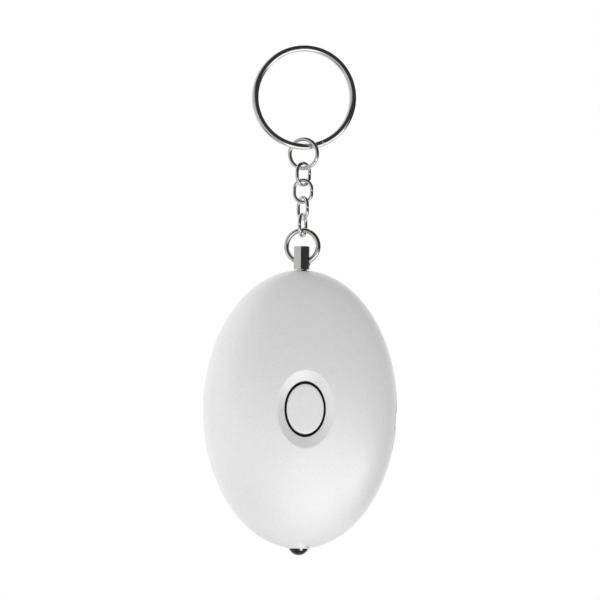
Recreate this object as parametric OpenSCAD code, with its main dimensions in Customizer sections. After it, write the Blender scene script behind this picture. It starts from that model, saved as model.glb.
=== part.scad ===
// Personal safety alarm: key ring, short chain, pull pin and an oval case with a lamp button.
// Sizes are in millimetres. Z is up, the front of the case faces -Y, and the origin is the
// inside top of the key ring, the point that the alarm hangs from.

/* [Key ring] */
// Outside diameter of the two-turn key ring
split_od = 25; // [22:0.5:28]
// Key ring wire, measured across the ring
split_wire = 1.5; // [1.3:0.05:1.7]
// Key ring wire, measured along the ring's axis
split_thick = 0.9; // [0.8:0.05:1]
// Space between the two turns
split_gap = 0.15; // [0.1:0.05:0.3]
// Half the angle over which the wire crosses from one turn to the other
split_cross = 23; // [20:1:28]

/* [Round rings] */
// Outside diameter of the ring on the key ring
upper_od = 8; // [7.6:0.1:8.6]
// Wire of the ring on the key ring
upper_wire = 1; // [0.8:0.05:1]
// Turn of the upper ring about the vertical
upper_turn = -28; // [-32:1:-26]
// Height that the upper ring stands clear of the key ring wire
upper_slack = 0.55; // [0.45:0.05:0.7]
// Outside diameter of the ring through the pull pin
lower_od = 8.9; // [8.6:0.1:9.6]
// Wire of the ring through the pull pin
lower_wire = 1.25; // [1.1:0.05:1.25]
// Width of the saw cut that closes each ring and link
ring_cut = 0.12; // [0.1:0.02:0.2]

/* [Chain] */
// Outside length of a chain link
link_l = 6.1; // [5.9:0.1:6.6]
// Outside width of a chain link
link_w = 5; // [4.9:0.1:5.4]
// Wire of the chain links
link_wire = 0.86; // [0.8:0.02:0.88]
// Turns of the four links about the vertical
link_turn = [38, -14, -66, -118];
// Play between one loop and the next
loop_play = 0.32; // [0.3:0.02:0.4]

/* [Pull pin] */
// Hexagon head across its flats
head_flats = 3.7; // [3.7:0.1:4.2]
// Height of the head
head_h = 5.5; // [5.2:0.1:6]
// Height of the cross hole above the underside of the head
eye_h = 1.9; // [1.8:0.1:2.2]
// Diameter of the cross hole
eye_d = 2.2; // [2.15:0.05:2.3]
// Turn of the pin and its ring about the vertical
pin_turn = -16; // [-25:1:0]
// Diameter of the stem
stem_d = 2.5; // [2.3:0.1:2.6]
// Length of the stem
stem_l = 11.5; // [11:0.1:12]
// Space between the head and the top of the case
head_gap = 0.2; // [0.15:0.05:0.3]

/* [Case] */
// Width of the case
case_w = 46.6; // [46:0.2:50]
// Height of the case
case_h = 66.6; // [66:0.2:72]
// Thickness of the case
case_t = 22; // [21.6:0.1:23]
// Wall of the moulded shells
wall = 1.8; // [1.6:0.1:2]
// Height of the tongue where the shells meet
lip_h = 1; // [0.8:0.1:1.2]
// Thickness of the tongue
lip_t = 0.7; // [0.6:0.05:0.75]
// General clearance between pieces that fit together
fit = 0.1; // [0.08:0.02:0.14]
// Length of the flat in the right edge, where a coin prises the shells apart
pry_l = 15; // [13:0.5:17]
// Height of the middle of that flat, from the middle of the case
pry_z = -2.4; // [-4:0.2:0]
// Length of the coin slot behind the flat
coin_l = 3.6; // [3:0.1:4.4]
// Upper screw posts, from the middle of the case
post_top = [15.5, 13];
// Lower screw posts, from the middle of the case
post_low = [12.5, -21.5];

/* [Lamp button] */
// Width of the dish round the button
dish_w = 13.7; // [13.2:0.1:14.2]
// Height of every button oval over its width
oval_k = 1.345; // [1.3:0.005:1.36]
// Depth of the dish
dish_d = 1.1; // [1:0.05:1.2]
// Width of the hole for the button
hole_w = 9.9; // [9.7:0.1:10.2]
// Gap round the button
button_gap = 0.5; // [0.4:0.05:0.6]
// Height of the button over the floor of the dish
button_up = 0.45; // [0.35:0.05:0.6]
// How far the button is pressed in
press = 0.6; // [0.5:0.05:0.65]
// Thickness of the moulding round the button
pad_t = 1.4; // [1.3:0.1:1.6]

/* [Electronics] */
// Side of the push switch
switch_w = 6; // [5.8:0.1:6.2]
// Height of the push switch without its plunger
switch_h = 2.5; // [2.4:0.1:2.7]
// Diameter of the switch plunger
plunger_d = 3.4; // [3.2:0.1:3.5]
// Height of the plunger over the switch
plunger_up = 0.85; // [0.8:0.05:0.95]
// Thickness of the circuit board
board_t = 1.2; // [1:0.1:1.3]
// Lower and upper edge of the board, from the middle of the case
board_z = [-6.8, 24];
// Diameter of the lamp lens
led_d = 5; // [4.9:0.05:5.05]
// How far the lens stands out of the case
led_out = 1.5; // [1.3:0.1:1.7]
// Diameter of a button cell
cell_d = 11.6; // [11.4:0.1:11.7]
// Thickness of a button cell
cell_t = 5.4; // [5.2:0.1:5.5]
// Height of the row of cells, from the middle of the case
cell_z = -14.5; // [-14.8:0.1:-14.3]
// Diameter of the sounder plate
piezo_d = 27; // [26:0.5:27]
// Height of the sounder, from the middle of the case
piezo_z = 5; // [4.8:0.1:5.4]

/* [Hidden] */
$fn = 64;

// Key ring and chain: each loop hangs on the wire of the loop above it.
split_r = (split_od - split_wire) / 2;
split_pitch = split_thick + split_gap;
split_z = split_wire / 2 - split_r;
split_low = split_z - split_r;
upper_r = (upper_od - upper_wire) / 2;
upper_z = split_low + split_wire / 2 + upper_wire / 2 + upper_slack - upper_r;
link_r = (link_w - link_wire) / 2;
link_span = link_l - link_wire;
link_step = link_span - link_wire - loop_play;
link_top_1 = upper_z - upper_r + upper_wire / 2 + link_wire / 2 + loop_play;
link_top = [for (i = [0:3]) link_top_1 - i * link_step];
link_low = [for (t = link_top) t - link_span];
lower_r = (lower_od - lower_wire) / 2;
lower_z = link_low[3] + link_wire / 2 + lower_wire / 2 + loop_play - lower_r;
// The ring curves inside the straight cross hole, so the hole is centred on that curve.
eye_lift = (lower_r - sqrt(pow(lower_r, 2) - pow(head_flats / 2, 2))) / 2;
eye_z = lower_z - lower_r + eye_lift;
head_z = eye_z - eye_h;

// Case: half sizes and the height of its middle.
half_w = case_w / 2;
half_h = case_h / 2;
half_t = case_t / 2;
case_z = head_z - head_gap - half_h;
in_w = half_w - wall;
in_h = half_h - wall;
in_t = half_t - wall;
far = 60;
pin_bore = stem_d + 4 * fit;
rib_t = 1.2;

// Prising flat: it stops short of the groove for the tongue, and faces as the outline does there.
pry_d = wall - lip_t - 2 * fit;
pry_x = half_w * sqrt(1 - pow(pry_z / half_h, 2));
pry_turn = atan2(pry_z / pow(half_h, 2), pry_x / pow(half_w, 2));
coin_deep = 0.8;

// Front to back: dish, button, switch and board follow one another.
dish_y = -half_t * sqrt(1 - pow(dish_w / case_w, 2));
floor_y = dish_y + dish_d;
pad_y = floor_y + pad_t;
flange_y = pad_y + fit;
flange_t = 0.8;
flange_w = 0.65;
button_edge = 0.4;
plunger_y = flange_y + flange_t + fit / 2;
switch_y = plunger_y + plunger_up;
board_y = switch_y + switch_h;
back_y = board_y + board_t;
button_w = hole_w - 2 * button_gap;

// Screws and the posts that they join
screw_d = 2;
screw_head_d = 3.8;
screw_head_h = 1.3;
screw_floor = 2.6;
screw_l = 7;
recess_w = 0.6;
recess_l = 2.2;
recess_deep = 0.7;
post_d = 6;
post_tip = 4.4;
rear_post_d = 6.6;
prop_x = 9;
prop_d = 3;
posts = [post_top, [-post_top[0], post_top[1]], post_low, [-post_low[0], post_low[1]]];

// Lamp
led_in = 5.9;
led_tip = -half_h - led_out;
led_seat = -half_h + led_in;
led_flange = 5.8;
led_flange_h = 1;
led_collar_t = 0.9;
lead_d = 0.5;
lead_x = 1.27;
lead_gap = 0.8;
lead_up = 1.4;
lead_hole_z = board_z[0] + lead_up;

// Cells and their contacts
cells_half = 1.5 * cell_t;
strip_t = 0.3;
strip_w = 8;
strip_tab = 1.6;
spring_l = 2.75;
spring_wire = 0.5;
spring_r = [3.6, 1.8];
cell_cap = 0.3;
cell_rim = 0.9;
rib_x = 4;
rib_span = [7, 4.6];
plus_x = cells_half + fit / 2;
minus_x = -cells_half - fit / 2 - spring_l - fit / 2 - strip_t;
strip_span = [3.5, 4];
strip_low = cell_z - strip_span[0];
strip_high = cell_z + strip_span[1];
fence_h = 7;

// Sounder
piezo_t = 0.3;
piezo_in = 5.9;
piezo_y = half_t - piezo_in;
seat_w = 1.3;
seat_deep = 0.8;
seat_land = 1.5;
ceramic_d = 19;
ceramic_t = 0.25;
sound_w = 1.3;
sound_pitch = 3;
sound_l = [8, 12, 14, 12, 8];
wire_d = 0.8;
wire_z = 17;

// Pin socket
socket_w = 6;
socket_in = [3.7, 13];
socket_top = half_h - socket_in[0];
socket_low = half_h - socket_in[1];
socket_bore = stem_d + 2 * fit;
socket_floor = 1;
window_w = 2;
window_h = 5;
window_up = 1.8;
leaf_t = 0.3;
leaf_w = 1.6;

// Pieces on the back of the board, from the middle of the case
core_at = [-8, 9.5];
core_d = 8;
core_neck = 4;
core_h = 5.4;
core_flange = 1;
winding_d = 7.2;
resin_at = [7.5, 2];
resin_r = 5.2;
resin_h = 1.4;
transistor_at = [14, -1];
transistor_d = 4.8;
transistor_h = 4.6;
transistor_flat = 1.4;
chip_at = [[-12, 3], [-7.5, 3], [-1.5, 8], [-1.5, 11]];
chip_size = [3.2, 0.6, 1.6];

function lerp(a, b, t) = a + (b - a) * t;
function ease(t) = t * t * (3 - 2 * t);

// A closed tube through rings of points that all have the same count.
module skin(rings) {
  n = len(rings[0]);
  m = len(rings);
  polyhedron(
    points = [for (r = rings) for (p = r) p],
    faces = concat(
      [[for (i = [0:n - 1]) i]],
      [for (j = [0:m - 2]) for (i = [0:n - 1])
        [j * n + i, (j + 1) * n + i, (j + 1) * n + (i + 1) % n, j * n + (i + 1) % n]],
      [[for (i = [n - 1:-1:0]) (m - 1) * n + i]]
    ),
    convexity = 8
  );
}

// Solid oval body, smaller than the case by the given depth all round.
module oval_body(inset) {
  w = half_w - inset;
  scale([1, (half_t - inset) / w, (half_h - inset) / w]) sphere(w, $fn = 128);
}

module front_space() {
  translate([-far, -2 * far, -far]) cube([2 * far, 2 * far, 2 * far]);
}

module rear_space() {
  translate([-far, 0, -far]) cube([2 * far, 2 * far, 2 * far]);
}

// Oval block from y0 back to y1, with the outline of the case less the given depth.
module oval_slab(inset, y0, y1) {
  w = half_w - inset;
  translate([0, y1, 0]) rotate([90, 0, 0]) linear_extrude(y1 - y0)
    scale([1, (half_h - inset) / w]) circle(w, $fn = 128);
}

// Round bar along Y at x and z, from y0 to y1.
module bar_y(x, z, d, y0, y1) {
  translate([x, y1, z]) rotate([90, 0, 0]) cylinder(h = y1 - y0, d = d);
}

// Oval bar or cone along Y, of half width r0 at y0 and r1 at y1.
module oval_y(r0, r1, y0, y1) {
  scale([1, 1, oval_k]) translate([0, y1, 0]) rotate([90, 0, 0])
    cylinder(h = y1 - y0, r1 = r1, r2 = r0);
}

// Open wire ring in the XZ plane, with its cut at the given angle from the top.
module wire_ring(r, wire, cut_at) {
  slit = ring_cut / r * 180 / PI;
  rotate([0, cut_at - slit / 2, 0]) rotate([90, 0, 0]) rotate([0, 0, 90])
    rotate_extrude(angle = 360 - slit) translate([r, 0]) circle(wire / 2, $fn = 32);
}

// One oval link in the XZ plane, with its cut in one long side.
module wire_link() {
  s = link_l - link_w;
  for (m = [0, 1]) mirror([0, 0, m]) translate([0, 0, s / 2]) rotate([90, 0, 0])
    rotate_extrude(angle = 180) translate([link_r, 0]) circle(link_wire / 2, $fn = 32);
  translate([-link_r, 0, -s / 2]) cylinder(h = s, d = link_wire, $fn = 32);
  for (m = [0, 1]) mirror([0, 0, m]) translate([link_r, 0, ring_cut / 2])
    cylinder(h = (s - ring_cut) / 2, d = link_wire, $fn = 32);
}

module hung_link(i) {
  color("silver") translate([0, 0, (link_top[i] + link_low[i]) / 2]) rotate([0, 0, link_turn[i]])
    wire_link();
}

// Key ring: one wire wound for nearly two turns, crossing over at the bottom.
module split_ring() {
  sides = 12;
  last = 720 - split_cross - 4;
  steps = 112;
  section = [for (i = [0:sides - 1])
    let (c = cos(360 * i / sides), s = sin(360 * i / sides))
    [split_wire / 2 * sign(c) * pow(abs(c), 0.8), split_thick / 2 * sign(s) * pow(abs(s), 0.8)]];
  path = [for (j = [0:steps])
    let (
      q = lerp(split_cross, last, j / steps),
      t = min(1, max(0, (q - 360 + split_cross) / (2 * split_cross)))
    )
    [q, (ease(t) - 0.5) * split_pitch]];
  color("silver") translate([0, 0, split_z]) skin([for (p = path)
    [for (c = section) [(split_r + c[0]) * sin(p[0]), p[1] + c[1], -(split_r + c[0]) * cos(p[0])]]]);
}

module upper_ring() {
  color("silver") translate([0, 0, upper_z]) rotate([0, 0, upper_turn])
    wire_ring(upper_r, upper_wire, 120);
}

module chain_link_1() { hung_link(0); }
module chain_link_2() { hung_link(1); }
module chain_link_3() { hung_link(2); }
module chain_link_4() { hung_link(3); }

module lower_ring() {
  color("silver") translate([0, 0, lower_z]) rotate([0, 0, pin_turn])
    wire_ring(lower_r, lower_wire, 26);
}

// Pull pin: chamfered hexagon head with a cross hole, and a stem with a contact groove.
module pull_pin() {
  corner = head_flats / cos(30) / 2;
  edge = 0.45;
  color("silver") translate([0, 0, head_z]) rotate([0, 0, pin_turn]) difference() {
    union() {
      intersection() {
        rotate([0, 0, 30]) cylinder(h = head_h, r = corner, $fn = 6);
        rotate_extrude() polygon([
          [0, 0], [corner - edge, 0], [corner, edge], [corner, head_h - edge / 2],
          [corner - edge, head_h], [0, head_h]
        ]);
      }
      difference() {
        translate([0, 0, -stem_l + stem_d / 2]) cylinder(h = stem_l, d = stem_d);
        translate([0, 0, -stem_l + 3.2]) rotate_extrude() translate([stem_d / 2 + 0.25, 0]) circle(0.6);
      }
      translate([0, 0, -stem_l + stem_d / 2]) sphere(d = stem_d);
    }
    translate([0, 0, eye_h]) rotate([0, 90, 0]) cylinder(h = 2 * head_flats, d = eye_d, center = true);
  }
}

// Ribs inside a shell that the cells lie in: side is -1 at the front and 1 at the rear.
module cell_ribs(side) {
  y0 = wall - 2 * fit;
  for (x = [-rib_x, rib_x]) translate([x - rib_t / 2, 0, cell_z]) difference() {
    translate([0, side > 0 ? y0 : -half_t, -rib_span[0]]) cube([rib_t, half_t - y0, rib_span[0] + rib_span[1]]);
    translate([-rib_t, 0, 0]) rotate([0, 90, 0]) cylinder(h = 3 * rib_t, d = cell_d + 2 * fit);
  }
}

// Holes that both shells share: the pin at the top and the lamp at the bottom.
module end_holes() {
  translate([0, 0, half_h - 6]) cylinder(h = 8, d = pin_bore);
  translate([0, 0, led_tip - 1]) cylinder(h = led_seat - led_tip + 2, d = led_d + 2 * fit);
}

module led_collar() {
  translate([0, 0, -half_h]) cylinder(h = led_in - fit, d = led_d + 2 * led_collar_t);
}

// Places a cut at the prising flat: X points out of the case, and Z runs along the edge.
module at_pry() {
  translate([pry_x, 0, pry_z]) rotate([0, -pry_turn, 0]) children();
}

// Front shell with the button dish, screw posts, board supports, tongue and prising flat.
module front_shell() {
  color("gainsboro") translate([0, 0, case_z]) difference() {
    union() {
      difference() {
        oval_body(0);
        oval_body(wall);
        rear_space();
      }
      difference() {
        oval_slab(wall - lip_t, -wall / 2, lip_h);
        oval_slab(wall, -wall, 2 * lip_h);
      }
      difference() {
        led_collar();
        rear_space();
      }
      intersection() {
        oval_body(wall / 2);
        union() {
          oval_y(dish_w / 2 + 0.8, dish_w / 2 + 0.8, -half_t, pad_y);
          for (p = posts) bar_y(p[0], p[1], post_d, -half_t, board_y - fit / 2);
          for (p = posts) bar_y(p[0], p[1], post_tip, -half_t, -1.5 * fit);
          for (x = [-prop_x, prop_x]) bar_y(x, board_z[0] + prop_d * 0.6, prop_d, -half_t, board_y - fit / 2);
          cell_ribs(-1);
          for (x = [plus_x + strip_t + fit / 2, minus_x - fit / 2 - rib_t])
            translate([x, -half_t, strip_low]) cube([rib_t, half_t + strip_w / 4, fence_h]);
        }
      }
    }
    oval_y(hole_w / 2 + (dish_w - hole_w) / 2 / dish_d * 3, hole_w / 2, floor_y - 3, floor_y);
    oval_y(hole_w / 2, hole_w / 2, floor_y - 1, pad_y + 1);
    for (p = posts) bar_y(p[0], p[1], screw_d + fit, screw_floor - screw_l - 2 * fit, 1);
    at_pry() translate([-pry_d, -far, -pry_l / 2]) cube([far, far, pry_l]);
    end_holes();
  }
}

// Rear shell with the sound slots, the seat of the sounder, the screw wells and the coin slot.
module rear_shell() {
  color("gainsboro") translate([0, 0, case_z]) difference() {
    union() {
      difference() {
        oval_body(0);
        oval_body(wall);
        front_space();
      }
      difference() {
        led_collar();
        front_space();
      }
      intersection() {
        oval_body(wall / 2);
        union() {
          for (p = posts) bar_y(p[0], p[1], rear_post_d, 0, half_t);
          difference() {
            bar_y(0, piezo_z, piezo_d + 2 * seat_w, piezo_y - seat_deep, half_t);
            bar_y(0, piezo_z, piezo_d + 4 * fit, piezo_y - 2 * seat_deep, piezo_y);
            bar_y(0, piezo_z, piezo_d - 2 * seat_land, piezo_y - 2 * seat_deep, half_t + 1);
          }
          cell_ribs(1);
        }
      }
    }
    difference() {
      oval_slab(wall - lip_t - fit, -1, lip_h + fit);
      oval_slab(wall + 1, -2, 2 * lip_h);
    }
    for (p = posts) bar_y(p[0], p[1], screw_head_d + 6 * fit, screw_floor, half_t + 1);
    for (p = posts) bar_y(p[0], p[1], screw_d + 3 * fit, -1, half_t);
    for (i = [0:len(sound_l) - 1]) sound_slot(sound_pitch * (i - (len(sound_l) - 1) / 2), sound_l[i]);
    at_pry() translate([-pry_d, -1, -coin_l / 2]) cube([far, 1 + coin_deep, coin_l]);
    end_holes();
  }
}

module sound_slot(up, long) {
  d = sound_w;
  translate([0, piezo_y + d, piezo_z + up]) {
    translate([-long / 2 + d / 2, 0, -d / 2]) cube([long - d, half_t, d]);
    for (x = [-1, 1]) bar_y(x * (long - d) / 2, 0, d, 0, half_t);
  }
}

// Four pan head screws with cross recesses.
module case_screws() {
  color("dimgray") translate([0, 0, case_z]) for (p = posts) translate([p[0], screw_floor + fit / 2, p[1]])
    rotate([-90, 0, 0]) difference() {
      union() {
        cylinder(h = screw_head_h, d = screw_head_d);
        translate([0, 0, -screw_l]) cylinder(h = screw_l, d = screw_d);
      }
      for (a = [0, 90]) rotate([0, 0, a]) translate([-recess_l / 2, -recess_w / 2, screw_head_h - recess_deep])
        cube([recess_l, recess_w, screw_head_h]);
    }
}

// Lamp button: oval cap with an eased edge, and a flange that keeps it in the case.
module light_button() {
  r = button_w / 2;
  rim = hole_w / 2 + flange_w;
  top_y = floor_y - button_up;
  end_y = flange_y + flange_t;
  color("gainsboro") translate([0, 0, case_z]) {
    intersection() {
      oval_y(r, r, top_y, end_y);
      oval_y(r - button_edge, r - button_edge + end_y - top_y, top_y, end_y);
    }
    oval_y(rim, rim, flange_y, end_y);
  }
}

// Board cut from the inside of the case, notched round the upper posts.
module circuit_board() {
  k = sqrt(1 - pow(board_y / in_t, 2));
  w = in_w * k - 0.5;
  h = in_h * k - 0.5;
  color("darkgreen") translate([0, back_y, case_z]) rotate([90, 0, 0]) linear_extrude(board_t) difference() {
    intersection() {
      scale([1, h / w]) circle(w, $fn = 128);
      translate([-far, board_z[0]]) square([2 * far, board_z[1] - board_z[0]]);
    }
    for (p = posts) translate(p) circle(d = post_tip + 3 * fit);
    for (x = [-lead_x, lead_x]) translate([x, lead_hole_z]) circle(d = lead_d + 4 * fit);
    for (x = [-2, 2]) translate([x, socket_low + 2]) circle(d = 0.9);
  }
}

module switch_base() {
  color("dimgray") translate([0, 0, case_z]) difference() {
    translate([-switch_w / 2, switch_y, -switch_w / 2]) cube([switch_w, switch_h - fit / 2, switch_w]);
    bar_y(0, 0, plunger_d + fit, switch_y - 1, switch_y + switch_h - 0.4);
    for (x = [-1, 1]) for (z = [-1, 1]) bar_y(x * 2.4, z * 2.4, 0.7, switch_y - 1, switch_y + 0.3);
  }
}

module switch_plunger() {
  color("black") translate([0, 0, case_z])
    bar_y(0, 0, plunger_d, plunger_y, switch_y + switch_h - 0.4 - press - fit);
}

// Places a piece on the back of the board, with its own Z pointing to the rear.
module on_board(at) {
  translate([at[0], back_y + fit / 2, case_z + at[1]]) rotate([-90, 0, 0]) children();
}

// Step-up coil: drum core with two flanges, and the winding between them.
module boost_core() {
  color("darkslategray") on_board(core_at) {
    cylinder(h = core_flange, d = core_d);
    cylinder(h = core_h, d = core_neck);
    translate([0, 0, core_h - core_flange]) cylinder(h = core_flange, d = core_d);
  }
}

module boost_winding() {
  h = core_h - 2 * core_flange - fit;
  color("chocolate") on_board(core_at) translate([0, 0, core_flange + fit / 2]) difference() {
    cylinder(h = h, d = winding_d);
    translate([0, 0, -h]) cylinder(h = 3 * h, d = core_neck + fit);
  }
}

// Driver chip under its drop of black resin.
module driver_chip() {
  color("black") on_board(resin_at) intersection() {
    translate([0, 0, resin_h - resin_r]) sphere(resin_r);
    cylinder(h = 2 * resin_h, r = 2 * resin_r);
  }
}

// Flat-sided transistor standing on the board.
module transistor() {
  d = transistor_d;
  color("black") on_board(transistor_at) intersection() {
    cylinder(h = transistor_h, d = d);
    translate([-d, -transistor_flat, -d]) cube([2 * d, 2 * d, 3 * d]);
  }
}

// Chip resistors and capacitors on the back of the board.
module chip_parts() {
  color("tan") for (p = chip_at)
    translate([p[0] - chip_size[0] / 2, back_y + fit / 2, case_z + p[1] - chip_size[2] / 2]) cube(chip_size);
}

// Socket that the stem of the pin plugs into, with a window in each side for its contact.
module pin_socket() {
  deep = -back_y - fit / 2;
  color("black") translate([0, 0, case_z]) difference() {
    translate([-socket_w / 2, -deep, socket_low]) cube([socket_w, 2 * deep, socket_top - socket_low]);
    translate([0, 0, socket_low + socket_floor]) cylinder(h = far, d = socket_bore);
    for (m = [0, 1]) mirror([m, 0, 0]) translate([socket_bore / 4, -window_w / 2, socket_low + window_up])
      cube([socket_w, window_w, window_h]);
  }
}

// Two leaf contacts bent in towards the groove of the stem.
module socket_contacts() {
  t = leaf_t;
  near = socket_bore / 2 + fit;
  out = socket_w / 2 - 2 * fit;
  low = socket_low + window_up + fit;
  bend = low + window_h * 0.32;
  tip = low + window_h * 0.6;
  top = low + window_h - 4 * fit;
  color("goldenrod") translate([0, leaf_w / 2, case_z]) for (m = [0, 1]) mirror([m, 0, 0])
    rotate([90, 0, 0]) linear_extrude(leaf_w) polygon([
      [out - t, low], [out, low], [out, bend], [near + t, tip], [out, top], [out - t, top], [near, tip],
      [out - t, bend]
    ]);
}

// Five millimetre lamp: domed lens with a flange inside the case.
module led_lens() {
  r = led_d / 2;
  color("darkslategray") translate([0, 0, case_z]) {
    translate([0, 0, led_tip + r]) sphere(r);
    translate([0, 0, led_tip + r]) cylinder(h = led_seat - led_tip - r + led_flange_h, r = r);
    translate([0, 0, led_seat]) cylinder(h = led_flange_h, d = led_flange);
  }
}

// Two bare legs from the lamp, round the front of the cells, into the board.
module led_leads() {
  sides = 8;
  r = cell_d / 2 + lead_gap + lead_d / 2;
  top = led_seat + led_flange_h + fit / 2;
  run = concat(
    [[0, 0, top], [0, 0, top + 3 * lead_d]],
    [for (a = [20, 45, 70, 90]) [0, -r * sin(a), cell_z - r * cos(a)]],
    [[0, -r, board_z[0] - 4 * lead_d], [0, board_y - lead_gap, lead_hole_z],
      [0, back_y + lead_gap / 2, lead_hole_z]]
  );
  last = len(run) - 1;
  rings = [for (i = [0:last])
    let (
      a = run[max(i, 1)] - run[max(i, 1) - 1],
      b = run[min(i, last - 1) + 1] - run[min(i, last - 1)],
      n = a / norm(a) + b / norm(b),
      v = cross(n, [1, 0, 0]) / norm(n) / (norm(n) / 2)
    )
    [for (k = [0:sides - 1])
      run[i] + lead_d / 2 * (cos(360 * k / sides) * [1, 0, 0] + sin(360 * k / sides) * v)]];
  color("silver") translate([0, 0, case_z]) for (x = [-lead_x, lead_x]) translate([x, 0, 0]) skin(rings);
}

// Button cell number i of the row, with its smaller negative cap.
module button_cell(i) {
  cap = cell_cap;
  h = cell_t - fit / 4;
  color("lightgray") translate([-cells_half + i * cell_t, 0, case_z + cell_z]) rotate([0, 90, 0]) {
    cylinder(h = cap, d = cell_d - 2 * cell_rim);
    translate([0, 0, cap]) cylinder(h = cap, d1 = cell_d - 2 * cap, d2 = cell_d);
    translate([0, 0, 2 * cap]) cylinder(h = h - 3 * cap, d = cell_d);
    translate([0, 0, h - cap]) cylinder(h = cap, d1 = cell_d, d2 = cell_d - 2 * cap);
  }
}

module battery_cell_1() { button_cell(0); }
module battery_cell_2() { button_cell(1); }
module battery_cell_3() { button_cell(2); }

// Sheet contact with a tab that reaches the back of the board.
module contact_strip(x) {
  translate([x, -strip_w / 2, strip_low]) cube([strip_t, strip_w, strip_high - strip_low]);
  translate([x, back_y + fit / 2, strip_low]) cube([strip_t, strip_tab, board_z[0] + strip_tab - strip_low]);
}

module battery_plate() { color("silver") translate([0, 0, case_z]) contact_strip(plus_x); }

module battery_spring_plate() { color("silver") translate([0, 0, case_z]) contact_strip(minus_x); }

// Cone spring that presses the cells together.
module battery_spring() {
  turns = 2.75;
  steps = 44;
  sides = 8;
  r0 = spring_wire / 2;
  travel = spring_l - spring_wire - fit;
  start = minus_x + strip_t + fit / 2 + r0;
  color("silver") translate([0, 0, case_z + cell_z]) skin([for (j = [0:steps])
    let (t = j / steps, a = 360 * turns * t, r = lerp(spring_r[0], spring_r[1], t), x = start + travel * t)
    [for (i = [0:sides - 1])
      let (q = 360 * i / sides, rr = r + r0 * cos(q))
      [x - r0 * sin(q), rr * cos(a), rr * sin(a)]]]);
}

// Sounder: brass plate on its seat, with the ceramic disc on the inner side.
module piezo_plate() {
  color("goldenrod") translate([0, 0, case_z])
    bar_y(0, piezo_z, piezo_d, piezo_y - fit / 2 - piezo_t, piezo_y - fit / 2);
}

module piezo_ceramic() {
  y1 = piezo_y - fit - piezo_t;
  color("white") translate([0, 0, case_z]) bar_y(0, piezo_z, ceramic_d, y1 - ceramic_t, y1);
}

function curve(p, t) =
  pow(1 - t, 3) * p[0] + 3 * t * pow(1 - t, 2) * p[1] + 3 * t * t * (1 - t) * p[2] + pow(t, 3) * p[3];

// Two insulated wires from the sounder to the back of the board.
module piezo_wires() {
  steps = 16;
  sides = 8;
  r = wire_d / 2;
  y0 = piezo_y - fit - piezo_t - ceramic_t - 1.5 * fit;
  y1 = back_y + fit;
  sag = 3 * wire_d;
  near = wire_z - wire_d;
  in_x = ceramic_d / 10;
  out_x = (ceramic_d + piezo_d) / 4;
  end_x = in_x + 4 * wire_d;
  runs = [
    [[in_x, y0, piezo_z], [in_x, y0 - sag, piezo_z + wire_d], [in_x, y1 + sag, near], [in_x, y1, wire_z]],
    [[out_x, y0 + ceramic_t, piezo_z], [out_x, y0 - sag, piezo_z + wire_d], [end_x, y1 + sag, near],
      [end_x, y1, wire_z]]
  ];
  color("red") translate([0, 0, case_z]) for (p = runs) skin([for (j = [0:steps])
    let (
      t = j / steps,
      d = curve(p, min(1, t + 0.01)) - curve(p, max(0, t - 0.01)),
      n = d / norm(d),
      u = cross(n, [1, 0, 0]) / norm(cross(n, [1, 0, 0])),
      v = cross(n, u)
    )
    [for (i = [0:sides - 1])
      curve(p, t) + r * (cos(360 * i / sides) * u + sin(360 * i / sides) * v)]]);
}

split_ring();
upper_ring();
chain_link_1();
chain_link_2();
chain_link_3();
chain_link_4();
lower_ring();
pull_pin();
front_shell();
rear_shell();
case_screws();
light_button();
circuit_board();
switch_base();
switch_plunger();
boost_core();
boost_winding();
driver_chip();
transistor();
chip_parts();
pin_socket();
socket_contacts();
led_lens();
led_leads();
battery_cell_1();
battery_cell_2();
battery_cell_3();
battery_plate();
battery_spring_plate();
battery_spring();
piezo_plate();
piezo_ceramic();
piezo_wires();
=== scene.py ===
import math

import bpy
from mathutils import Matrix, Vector


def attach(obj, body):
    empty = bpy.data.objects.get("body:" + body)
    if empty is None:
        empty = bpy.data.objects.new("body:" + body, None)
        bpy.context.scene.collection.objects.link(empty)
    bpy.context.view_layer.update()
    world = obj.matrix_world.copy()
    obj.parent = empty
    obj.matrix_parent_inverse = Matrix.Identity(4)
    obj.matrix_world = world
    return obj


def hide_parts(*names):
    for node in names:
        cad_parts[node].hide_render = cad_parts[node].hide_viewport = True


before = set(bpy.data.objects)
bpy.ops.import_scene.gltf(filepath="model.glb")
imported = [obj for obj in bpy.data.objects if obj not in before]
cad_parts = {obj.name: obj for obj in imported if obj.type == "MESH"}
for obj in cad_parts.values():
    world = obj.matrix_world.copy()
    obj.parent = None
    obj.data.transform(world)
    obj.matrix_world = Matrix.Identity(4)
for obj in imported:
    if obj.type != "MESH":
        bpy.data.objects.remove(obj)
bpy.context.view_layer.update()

# The bare black left under the skin is also painted shade in the gaps and recesses.
# Front shell
# One half of the case, moulded in black ABS with a 1.8 mm wall and sprayed silver on the outside only.
# A dish is sunk round the lamp button, and a thin tongue round the open edge seats in the rear shell.
mm = 0.001
case_mid = Vector((0, 0, -85.556 * mm))
case_wide = 23.3 * mm
case_deep = 11 * mm
case_high = 33.3 * mm
shell_wall = 1.8 * mm
tongue_inset = 1.1 * mm
tongue_long = 1 * mm
seam_ease = 0.14 * mm
seam_angle = 89.2
oval_sides = 160
to_front = (math.radians(90), 0, 0)
to_rear = (math.radians(-90), 0, 0)
sideways = (0, math.radians(90), 0)

# The case, its inside and its tongue are ovals about the same middle, given by half sizes.
inner_wide = case_wide - shell_wall
inner_deep = case_deep - shell_wall
inner_high = case_high - shell_wall
tongue_wide = case_wide - tongue_inset
tongue_high = case_high - tongue_inset

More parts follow.
